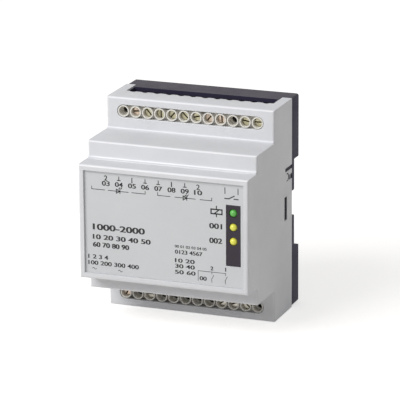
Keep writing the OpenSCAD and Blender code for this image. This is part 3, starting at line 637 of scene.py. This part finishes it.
def tighter_corners(work):
    """Draws the four round corners of the base out to the smaller radius that the photograph shows."""
    solid_r, seen_r = 1.8, 1.4
    for vert in work.verts:
        x, z = vert.co.x / MM, vert.co.z / MM
        arm = Vector((abs(x) - HALF_WIDTH + solid_r, abs(z) - HALF_HEIGHT + solid_r))
        if arm.x > 0 and arm.y > 0 and abs(arm.length - solid_r) < NEAR:
            arm *= seen_r / solid_r
            vert.co.x = math.copysign(HALF_WIDTH - seen_r + arm.x, x) * MM
            vert.co.z = math.copysign(HALF_HEIGHT - seen_r + arm.y, z) * MM


def base_shape(work):
    """The base's corners as seen, and the faces of its catches flush with the sides of the cover."""
    groove_y, flush = -2.6, HALF_WIDTH - 0.02
    split_faces(work, groove_y)
    tighter_corners(work)
    for vert in work.verts:
        if in_catch_window(vert.co / MM) and abs(vert.co.x) > 34.8 * MM:
            vert.co.x = math.copysign(flush * MM, vert.co.x)


def base_part(at, way):
    """Picks the finish of a face of the base: 2 for the key lugs, 1 for the catches, in a darker copy that
    paints their shade, 0 for the rest.
    """
    in_lug = abs(at.x) > 33.0 and -6.5 < at.y < -2.75 and 10.5 < at.z < 12.8
    return 2 if in_lug else in_catch_window(at)


def rear_base():
    """The dark base with its rim, heels and catches."""
    dressed("rear_base", BASE, CATCH, RIB_GREY, slot="base", shape=base_shape, where=base_part)


def side_ribs():
    """Ribs of the base that stand in the slit and in the moon-shaped cut of each side of the cover, in the
    darker copy of the base plastic that paints shade there.
    """
    work = bmesh.new()
    moon_radius, moon_depth = 1.65 * MM, 2.1 * MM
    sideways = Matrix.Rotation(math.pi / 2, 4, "Y")
    for side in (-1, 1):
        block(work, (side * 33.8, -6.6, 15.45), (2.0, 7.7, 1.4))
        moon = Matrix.Translation((side * 33.85 * MM, -8.0 * MM, 12.3 * MM))
        bmesh.ops.create_cone(work, cap_ends=True, segments=40, radius1=moon_radius, radius2=moon_radius,
                              depth=moon_depth, matrix=moon @ sideways)
    finished("side_ribs", work, CATCH, slot="base", smooth=False)


def rail_clip():
    """The sliding clip under the rail's lower edge."""
    dressed("rail_clip", CLIP, body="rail_clip", slot="clip")


# Label and its print, in millimetres on the label's face

LABEL_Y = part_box("front_label")[0].y / MM
PRINT_THICKNESS = 0.02
PRINT_SUNK = 0.006
PRINT_DEEP = PRINT_THICKNESS + PRINT_SUNK
PRINT_Y = LABEL_Y - PRINT_THICKNESS + PRINT_DEEP / 2
PRINT_SCALE = 0.99
THIN_LINE = 0.2
PLAIN_LINE = 0.26
MARK_LINE = 0.34
SIGN_LINE = 0.4
MARK_LEFT = -24.1
MARK_PITCH = 5.5
MARK_ROW_Z = 18.3
WAY_ROW_Z = 16.1
BRACKET_Z = 13.4

# Rows of plain numbers on the label: text, left, right, middle height, height, and how bold
NUMBER_ROWS = (
    ("1000-2000", -29.5, -8.0, -1.9, 2.45, 0.16),
    ("10 20 30 40 50", -29.6, -5.6, -5.95, 1.95, 0.13),
    ("60 70 80 90", -29.6, -14.6, -9.1, 1.95, 0.13),
    ("1 2 3 4", -31.7, -23.4, -14.1, 1.7, 0.08),
    ("100 200 300 400", -31.7, -10.6, -16.6, 1.7, 0.08),
    ("00 01 02 03 04 05", 4.5, 17.6, -6.35, 1.1, 0.03),
    ("0123 4567", 4.6, 15.8, -8.55, 1.6, 0.08),
    ("10 20", 4.6, 12.6, -12.0, 1.6, 0.09),
    ("30 40", 4.6, 12.6, -14.25, 1.6, 0.09),
    ("50 60", 4.5, 12.9, -16.65, 1.6, 0.09),
    ("00", 14.7, 17.5, -18.2, 1.6, 0.08),
    ("001", 18.8, 23.9, 3.35, 2.15, 0.12),
    ("002", 18.8, 23.9, -2.5, 2.15, 0.12),
)


def stroke(work, points, line=PLAIN_LINE):
    """A printed line through points in x and z, as a run of thin bars."""
    for (x0, z0), (x1, z1) in zip(points, points[1:]):
        length = math.hypot(x1 - x0, z1 - z0) + line
        lie = Matrix.Rotation(-math.atan2(z1 - z0, x1 - x0), 4, "Y")
        at = Matrix.Translation(((x0 + x1) / 2, PRINT_Y, (z0 + z1) / 2))
        size = Matrix.Diagonal((length, PRINT_DEEP, line, 1))
        bmesh.ops.create_cube(work, size=1.0, matrix=at @ lie @ size)


def number(work, word, x, z, height, width=None, bold=0.09):
    """A printed number or row of numbers centred on x and z, drawn out to a width if one is given.
    Three strikes that far apart, in millimetres, make it bold."""
    curve = bpy.data.curves.new("number " + word, "FONT")
    curve.body = word
    curve.offset = 0.008
    curve.extrude = 0.5
    text = link("number " + word, curve)
    bpy.context.view_layer.update()
    flat = bpy.data.meshes.new_from_object(text.evaluated_get(bpy.context.evaluated_depsgraph_get()))
    across, rise, _ = zip(*(vert.co for vert in flat.vertices))
    low = Vector((min(across), min(rise), 0))
    high = Vector((max(across), max(rise), 0))
    size = height / (high.y - low.y)
    wide = width / (high.x - low.x) if width else size
    centre = Matrix.Translation(-(low + high) / 2)
    upright = Matrix.Rotation(math.pi / 2, 4, "X")
    at = Matrix.Translation((x - bold, PRINT_Y, z))
    flat.transform(at @ upright @ Matrix.Diagonal((wide, size, PRINT_DEEP, 1)) @ centre)
    # Each strike lies a micron in front of the one before, so that no two faces fall together
    for _ in range(3):
        work.from_mesh(flat)
        flat.transform(Matrix.Translation((bold, -0.001, 0)))
    bpy.data.objects.remove(text)


def earth_mark(work, x):
    """The earth sign over a terminal: a stem on a foot."""
    foot = MARK_ROW_Z - 0.5
    stroke(work, [(x, MARK_ROW_Z + 0.9), (x, foot)], MARK_LINE)
    stroke(work, [(x - 0.6, foot), (x + 0.6, foot)], MARK_LINE)


def bracket(work, left, inner_left, inner_right, right):
    """The line under a group of terminals, open in the middle for its sign."""
    top = BRACKET_Z + 1.1
    stroke(work, [(left, top), (left, BRACKET_Z), (inner_left, BRACKET_Z)])
    stroke(work, [(inner_right, BRACKET_Z), (right, BRACKET_Z), (right, top)])


def diode_sign(work, x, z, outward):
    """The sign for a lamp that sends light, or for a sensor that takes it in."""
    stroke(work, [(x - 4.2, z), (x + 4.2, z)])
    stroke(work, [(x - 0.8, z - 0.8), (x - 0.8, z + 0.8), (x + 0.7, z), (x - 0.8, z - 0.8)], MARK_LINE)
    stroke(work, [(x + 0.7, z - 0.8), (x + 0.7, z + 0.8)], MARK_LINE)
    for shift in (0.0, 0.8):
        foot, tip = Vector((x + shift - 0.1, z + 0.75)), Vector((x + shift + 0.7, z + 1.5))
        if not outward:
            foot, tip = tip, foot
        back = (foot - tip).normalized() * 0.4
        stroke(work, [foot, tip], THIN_LINE)
        for turn in (0.6, -0.6):
            barb = back.copy()
            barb.rotate(Matrix.Rotation(turn, 2))
            stroke(work, [tip, tip + barb], THIN_LINE)


def terminal_marks(work):
    """The signs over the upper terminals, and the numbers of their ways."""
    for i, mark in enumerate(("2", None, "1", None, None, "1", None, "2")):
        x = MARK_LEFT + i * MARK_PITCH
        if mark:
            number(work, mark, x, MARK_ROW_Z, 2.1, bold=0.04)
        else:
            earth_mark(work, x)
        number(work, f"{i + 3:02d}", x, WAY_ROW_Z, 1.9, 3.2)
    bracket(work, -30.1, -24.6, -13.2, -7.6)
    diode_sign(work, -18.9, BRACKET_Z, True)
    bracket(work, -2.4, 2.8, 15.2, 20.0)
    diode_sign(work, 9.0, BRACKET_Z, False)


def mode_switch_sign(work):
    """An open switch between two stems, over the strip."""
    for x in (25.45, 30.8):
        stroke(work, [(x, 19.1), (x, 16.9)], MARK_LINE)
    stroke(work, [(25.4, 14.9), (27.0, 14.9), (29.2, 16.1)], SIGN_LINE)
    stroke(work, [(29.2, 14.9), (30.8, 14.9)], SIGN_LINE)


def relay_coil_sign(work):
    """The coil of a relay: a box with a slash, and a lead up and down."""
    stroke(work, [(19.7, 10.1), (24.2, 10.1), (24.2, 8.3), (19.7, 8.3), (19.7, 10.1)], 0.52)
    stroke(work, [(21.1, 8.4), (22.9, 10.0)], 0.46)
    stroke(work, [(21.9, 10.1), (21.9, 11.4)], SIGN_LINE)
    stroke(work, [(21.9, 8.3), (21.9, 7.2)], SIGN_LINE)


def output_contacts_sign(work):
    """The two output contacts, open, under the line that joins them."""
    number(work, "2", 19.9, -13.9, 1.6)
    number(work, "1", 25.6, -13.8, 1.6)
    stroke(work, [(14.2, -19.4), (14.2, -15.4), (25.5, -15.4)], THIN_LINE)
    for x in (19.9, 25.5):
        stroke(work, [(x, -15.3), (x, -16.2)], THIN_LINE)
        stroke(work, [(x + 0.75, -16.7), (x - 0.1, -18.3), (x, -19.6)], THIN_LINE)


def supply_sign(work, x, z):
    """The sign for alternating supply, one wave long."""
    shares = [i / 8 for i in range(9)]
    wave = [(x - 0.8 + 1.6 * share, z + 0.3 * math.sin(2 * math.pi * share)) for share in shares]
    stroke(work, wave, THIN_LINE)


def label_print():
    """The print of the label, as one thin raised piece."""
    work = bmesh.new()
    terminal_marks(work)
    mode_switch_sign(work)
    relay_coil_sign(work)
    output_contacts_sign(work)
    for x in (-29.5, -18.5):
        supply_sign(work, x, -19.1)
    bmesh.ops.scale(work, vec=(PRINT_SCALE, 1, PRINT_SCALE), verts=work.verts)
    for word, left, right, z, height, bold in NUMBER_ROWS:
        number(work, word, (left + right) / 2, z, height, right - left, bold)
    bmesh.ops.scale(work, vec=(MM, MM, MM), verts=work.verts)
    finished("label_print", work, INK, slot="label", smooth=False)


def front_label():
    """The foil in its recess, and its print."""
    dressed("front_label", LABEL, slot="label", round_by=0.05, segments=1)
    label_print()


# Lamps

LAMP_BODY = 5.25
LAMPS = (
    ("power_lamp", GREEN_LENS, "lamp_green"),
    ("channel_1_lamp", YELLOW_LENS, "lamp_yellow"),
    ("channel_2_lamp", YELLOW_LENS, "lamp_yellow"),
)


def lamps():
    """The dark strip, and the lamps with their tinned legs behind it."""
    dressed("indicator_strip", STRIP, slot="strip", round_by=0.1)
    for node, lens, slot in LAMPS:
        legs_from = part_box(node)[0].y / MM + LAMP_BODY
        dressed(node, lens, CONTACT_TIN, slot=slot, round_by=0,
                where=lambda at, way, legs_from=legs_from: at.y > legs_from)


# Terminals

WAY_PITCH = 5.08
SCREW_Z = 37.4
HEAD_LENGTH = 1.5
THREAD_R = 1.25
THREAD_ROOT = 0.84
COPPERY_SCREWS = ("upper_screw_02", "upper_screw_08", "upper_screw_09", "lower_screw_01")


def beside_way(at):
    """Distance in millimetres from the axis of the nearest way, in x and z."""
    step = (at.x / WAY_PITCH) % 1.0
    return math.hypot((step - 0.5) * WAY_PITCH, abs(at.z) - SCREW_Z)


def outside_hole(edge):
    """Keeps the hole for the screw in a cage sharp."""
    return float(all(beside_way(vert.co / MM) > 1.5 for vert in edge.verts))


def turned_map(work, axis):
    """A UV map of angle and radius round the axis of a screw, for its turning marks."""
    layer = work.loops.layers.uv.new("turned")
    for face in work.faces:
        for corner in face.loops:
            arm = corner.vert.co - axis
            corner[layer].uv = (math.atan2(arm.z, arm.x) / (2 * math.pi), math.hypot(arm.x, arm.z) / (2 * MM))


def thin_shank(work, node):
    """Turned marks on the head, and a shank drawn in to the root of its thread."""
    low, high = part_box(node)
    middle = (low + high) / 2
    shank = [vert for vert in work.verts if vert.co.y > low.y + (HEAD_LENGTH + 0.02) * MM]
    bmesh.ops.scale(work, vec=(THREAD_ROOT, 1, THREAD_ROOT), verts=shank, space=Matrix.Translation(-middle))
    turned_map(work, middle)


def screw_thread(node):
    """One thread on the shank, swept round the axis by a spin that also climbs."""
    low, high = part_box(node)
    middle = (low + high) / 2
    crest, pitch, steps = THREAD_R * MM, 0.5 * MM, 16
    root = crest * THREAD_ROOT - 0.04 * MM
    start = low.y + (HEAD_LENGTH + 0.1) * MM
    turns = int((high.y - 0.15 * MM - start) / pitch) - 1
    profile = ((root, 0), (crest, 0.17 * MM), (crest, 0.25 * MM), (root, 0.42 * MM))
    work = bmesh.new()
    ring = [work.verts.new((middle.x + x, start + y, middle.z)) for x, y in profile]
    edges = [work.edges.new(pair) for pair in zip(ring, ring[1:] + ring[:1])]
    bmesh.ops.spin(work, geom=ring + edges, cent=middle, axis=(0, 1, 0), dvec=(0, pitch / steps, 0),
                   angle=turns * 2 * math.pi, steps=turns * steps, use_merge=False)
    bmesh.ops.holes_fill(work, edges=[edge for edge in work.edges if edge.is_boundary], sides=4)
    finished(node + "_thread", work, SCREW_BRASS, body=node, slot="screw", smooth=False)


def terminal_row(row):
    """A row's moulded block, ivory in front and in its ways and elsewhere in a darker grey copy that paints
    the shade between its tubes, and its contact bars.
    """
    node = row + "_terminal_block"
    ivory_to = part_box(node)[0].y / MM + 2.0
    dressed(node, TERMINAL_SHADE_GREY, IVORY, slot="terminal_block", round_by=0.08, shortest=0.12,
            where=lambda at, way: at.y < ivory_to or beside_way(at) < 2.0)
    dressed(row + "_contacts", CONTACT_TIN, slot="contact", round_by=0.05, segments=1)


def clamp_screw(node):
    """A slotted screw with painted shade in its slot, and its thread."""
    plating = SCREW_PALE if node.startswith("lower") else SCREW_BRASS
    if node in COPPERY_SCREWS:
        plating = SCREW_COPPERY
    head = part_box(node)[0].y / MM
    dressed(node, plating, SLOT_SHADE, body=node, slot="screw", round_by=0.06,
            where=lambda at, way: head + 0.3 < at.y < head + 1.4 and beside_way(at) < 1.6,
            shape=lambda work: thin_shank(work, node))
    screw_thread(node)


def terminals():
    """Both rows, and the screw and cage of each fitted way."""
    for row in ("upper", "lower"):
        terminal_row(row)
    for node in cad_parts:
        if "_screw_" in node:
            clamp_screw(node)
        if "_cage_" in node:
            dressed(node, CAGE_STEEL, body=node, slot="cage", round_by=0.12, share=outside_hole)


# Boards and what they carry

BOARD_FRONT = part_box("main_board")[0].y
BOARD_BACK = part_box("main_board")[1].y
SOLDERED = ("upper_contacts", "lower_contacts", "transformer_coil", "relay_1", "relay_2",
            "smoothing_capacitor", "supply_capacitor")


def past_front(at, by=0.05):
    """Whether a place lies that far behind the front of the main board, in millimetres."""
    return at.y * MM > BOARD_FRONT + by * MM


def lead_ends(node):
    """The middles of the end faces of a node's leads, behind the main board."""
    work = bench_mesh(node)
    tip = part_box(node)[1].y
    middles = [face.calc_center_median() for face in work.faces if face.normal.y > 0.9]
    work.free()
    return [middle for middle in middles if abs(middle.y - tip) < 0.05 * MM]


def solder_joints():
    """A cone of solder round each lead where it leaves the main board."""
    work = bmesh.new()
    backward = Matrix.Rotation(-math.pi / 2, 4, "X")
    foot, tip, high = 1.0 * MM, 0.52 * MM, 0.8 * MM
    for end in [end for node in SOLDERED for end in lead_ends(node)]:
        at = Matrix.Translation((end.x, BOARD_BACK + high / 2, end.z))
        cone = bmesh.ops.create_cone(work, cap_ends=True, segments=14, radius1=foot, radius2=tip,
                                     depth=high, matrix=at @ backward)
        rims = [edge for edge in work.edges
                if edge.verts[0] in cone["verts"] and edge.calc_face_angle(0) > 0.5]
        bmesh.ops.bevel(work, geom=rims, offset=0.18 * MM, offset_type="OFFSET", segments=2, profile=0.5,
                        affect="EDGES", material=-1)
    finished("solder_joints", work, SOLDER, slot="contact")


def small_parts():
    """Small resistors and capacitors on the back of the display board, body and tinned ends."""
    work = bmesh.new()
    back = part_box("display_board")[1].y / MM
    body_and_ends = ((0.0, 1.3, 1.15, 0.55), (-0.85, 0.45, 1.25, 0.6), (0.85, 0.45, 1.25, 0.6))
    for row, z in enumerate((-13.0, -9.0, -5.0, 3.0, 7.0)):
        for k in range(11):
            if (row * 5 + k * 3) % 4 == 0:
                continue
            x = -24.0 + 4.4 * k + 0.8 * (row % 2)
            for shift, long, wide, high in body_and_ends:
                made = block(work, (x + shift, back + high / 2, z), (long, high, wide))
                for face in {face for vert in made["verts"] for face in vert.link_faces}:
                    face.material_index = int(shift != 0.0)
    finished("small_parts", work, CHIP_EPOXY, SOLDER, slot="chip", smooth=False)


def boards():
    """The circuit boards, with solder and small parts."""
    for node in ("main_board", "display_board"):
        dressed(node, BOARD, slot="board", round_by=0.08, shortest=3.0, segments=1)
    dressed("link_board", BOARD, slot="board", round_by=0.06, segments=1)
    solder_joints()
    small_parts()


def laminations():
    """The core as a stack of thin stampings: the solid, flattened and repeated through its depth."""
    low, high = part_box("transformer_core")
    deep = high.y - low.y
    count, filled = 27, 0.9
    work = bench_mesh("transformer_core")
    bmesh.ops.scale(work, vec=(1, filled / count, 1), verts=work.verts,
                    space=Matrix.Translation((0, -low.y, 0)))
    first = work.faces[:]
    for k in range(1, count):
        copy = bmesh.ops.duplicate(work, geom=first)
        moved = [item for item in copy["geom"] if isinstance(item, bmesh.types.BMVert)]
        slip = 0.02 * MM * ((k * 7) % 3 - 1)
        bmesh.ops.translate(work, vec=(slip, deep * k / count, 0), verts=moved)
    made = finished("transformer_laminations", work, CORE_IRON, slot="core", smooth=False)
    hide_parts("transformer_core")


def transformer_coil():
    """Bobbin flanges, the taped winding between them, and the tinned leads."""
    low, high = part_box("transformer_coil")
    flange = 1.0 * MM

    def part(at, way):
        if past_front(at, -0.05):
            return 2
        return low.z + flange < at.z * MM < high.z - flange and abs(way.z) < 0.5

    dressed("transformer_coil", BOBBIN, TAPE, SOLDER, slot="coil", round_by=0.12, shape=split_faces,
            where=part)


def stepped_case(work):
    """Draws the upper part of a relay's case in a little, so that its foot shows as a step."""
    step_y = BOARD_FRONT - 1.4 * MM
    bmesh.ops.bisect_plane(work, geom=work.verts[:] + work.edges[:] + work.faces[:], dist=0.001 * MM,
                           plane_co=(0, step_y, 0), plane_no=(0, 1, 0))
    upper = [vert for vert in work.verts if vert.co.y < step_y - 0.01 * MM]
    middle = sum((vert.co for vert in upper), Vector()) / len(upper)
    bmesh.ops.scale(work, vec=(0.975, 1, 0.955), verts=upper, space=Matrix.Translation(-middle))


def relays():
    """The sealed relays: a case and tinned leads."""
    for node in ("relay_1", "relay_2"):
        dressed(node, RELAY_CASE, SOLDER, slot="relay", round_by=0.3, segments=3, shortest=2.0,
                where=lambda at, way: past_front(at), shape=stepped_case)


def can_lid(work):
    """Sinks the top of a capacitor's can inside the turned-over rim of its sleeve."""
    top = min(vert.co.y for vert in work.verts) + 0.01 * MM
    lid = [face for face in work.faces if face.normal.y < -0.9 and face.calc_center_median().y < top]
    bmesh.ops.inset_region(work, faces=lid, thickness=0.55 * MM, depth=0.0, use_even_offset=True)
    sunk = list({vert for face in lid for vert in face.verts})
    bmesh.ops.translate(work, vec=(0, 0.18 * MM, 0), verts=sunk)


def capacitor(node):
    """A can in its sleeve, with a bare lid and tinned leads."""
    low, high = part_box(node)
    axis_x = (low.x + high.x) / 2

    def part(at, way):
        if past_front(at):
            return 2
        return way.y < -0.9 and at.y * MM < low.y + 0.3 * MM and abs(at.x * MM - axis_x) < 0.2 * MM

    dressed(node, SLEEVE, CAN_TOP, SOLDER, slot="capacitor", round_by=0.25, segments=3, shape=can_lid,
            where=part)


def amplifier_legs():
    """The legs of the amplifier chips, each a shoulder, a drop and a foot."""
    low, high = (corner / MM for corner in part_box("amplifier_chips"))
    leg_pitch, leg_width = 1.27, 0.42
    bends = ((2.65, 0.9, 0.6, 0.16), (3.0, 0.5, 0.16, 0.8), (3.3, 0.09, 0.6, 0.16))
    work = bmesh.new()
    for x in (-6.5, 6.5):
        for side in (-1, 1):
            for k in range(4):
                y = (low.y + high.y) / 2 + (k - 1.5) * leg_pitch
                for out, level, long, thick in bends:
                    block(work, (x + side * out, y, low.z + level), (long, leg_width, thick))
    finished("amplifier_chip_legs", work, SOLDER, slot="chip", smooth=False)


def chips():
    """The controller with its legs, and the two amplifier chips."""
    low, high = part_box("controller_chip")
    middle = (low.z + high.z) / 2 / MM
    dressed("controller_chip", CHIP_EPOXY, SOLDER, slot="chip", round_by=0.06,
            where=lambda at, way: abs(at.z - middle) > 3.22)
    dressed("amplifier_chips", CHIP_EPOXY, slot="chip")
    amplifier_legs()


def supply_parts():
    """Round fuse and surge disc by the lower terminals."""
    dressed("fuse", FUSE_CASE, slot="fuse", round_by=0.3, segments=3)
    leads_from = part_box("varistor")[1].y / MM - 1.0
    dressed("varistor", DISC_COATING, SOLDER, slot="varistor", round_by=0.5, segments=4,
            shape=split_faces, where=lambda at, way: at.y > leads_from)


def clip_spring():
    """Carries a steel finish on the spring's own solid."""
    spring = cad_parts["clip_spring"]
    spring.data.materials.clear()
    spring.data.materials.append(SPRING_STEEL)


front_cover()
rear_base()
side_ribs()
rail_clip()
clip_spring()
boards()
laminations()
transformer_coil()
relays()
capacitor("smoothing_capacitor")
capacitor("supply_capacitor")
chips()
supply_parts()
front_label()
lamps()
terminals()


# Studio

def seen_rays(tree):
    """One for rays from the camera, straight or by way of a mirror or a clear piece, and zero for others."""
    path = add(tree, "LightPath").outputs
    seen = maths(tree, "MAXIMUM", path["Is Camera Ray"], path["Is Glossy Ray"])
    return maths(tree, "MAXIMUM", seen, path["Is Transmission Ray"])


def studio_floor():
    """A pale floor under the part, lifted to near white where the camera sees it."""
    made = bpy.data.materials.new("floor paint")
    made.use_nodes = True
    tree = made.node_tree
    tree.nodes.clear()
    cloth = ramped(tree, noise(tree, object_place(tree), 30.0, 3.0), 0.3, 0.7, 0.69, 0.71)
    paint = mixed(tree, cloth, (0, 0, 0, 1), (1.0, 0.98, 0.95, 1.0))
    matt = add(tree, "BsdfDiffuse", {"Color": paint}).outputs[0]
    lift = times(tree, seen_rays(tree), 0.61)
    glow = add(tree, "Emission", {"Color": (1, 1, 1, 1), "Strength": lift}).outputs[0]
    whole = add(tree, "AddShader", {0: matt, 1: glow}).outputs[0]
    join(whole, add(tree, "OutputMaterial").inputs["Surface"])
    work = bmesh.new()
    level = Matrix.Translation((0, 0, cad_box[0].z))
    bmesh.ops.create_grid(work, x_segments=1, y_segments=1, size=4.0, matrix=level)
    floor = link("studio_floor", mesh_of("studio floor", work, made))


def soft_box(name, toward, distance, size, level):
    """A square soft light that gives a face turned to it that share of white."""
    lamp = bpy.data.lights.new(name, "AREA")
    lamp.shape = "SQUARE"
    lamp.size = size
    lamp.energy = level * math.pi ** 2 * distance ** 2
    made = link(name, lamp)
    way = Vector(toward).normalized()
    made.matrix_world = Matrix.Translation(way * distance) @ way.to_track_quat("Z", "Y").to_matrix().to_4x4()
    return made


def studio_light():
    """An even white surround, a key light from the front left and a weak one from behind."""
    world = bpy.data.worlds.new("studio")
    bpy.context.scene.world = world
    world.use_nodes = True
    tree = world.node_tree
    sky = tree.nodes["Background"].inputs
    sky["Color"].default_value = (1, 1, 1, 1)
    join(ramped(tree, seen_rays(tree), 0.0, 1.0, 0.355, 1.0), sky["Strength"])
    soft_box("key light", (-0.43, -0.68, 0.62), distance=1.6, size=0.9, level=0.69)
    soft_box("back light", (-0.3, 0.8, 0.6), distance=1.8, size=1.2, level=0.06).visible_glossy = False


def camera():
    """The camera as fitted."""
    lens = bpy.data.cameras.new("camera")
    lens.sensor_width = 36
    lens.lens = CAMERA_LENS
    lens.clip_start = 0.05
    made = link("camera", lens)
    a, e, r = CAMERA_AZIMUTH, CAMERA_ELEVATION, CAMERA_ROLL
    back = Vector((math.sin(a) * math.cos(e), -math.cos(a) * math.cos(e), math.sin(e)))
    level = Vector((math.cos(a), math.sin(a), 0))
    rise = level.cross(-back)
    right = level * math.cos(r) + rise * math.sin(r)
    up = rise * math.cos(r) - level * math.sin(r)
    turn = Matrix((right, up, back)).transposed().to_4x4()
    made.matrix_world = Matrix.Translation(CAMERA_AT) @ turn
    bpy.context.scene.camera = made


studio_floor()
studio_light()
camera()
bpy.context.scene.view_settings.view_transform = "Standard"
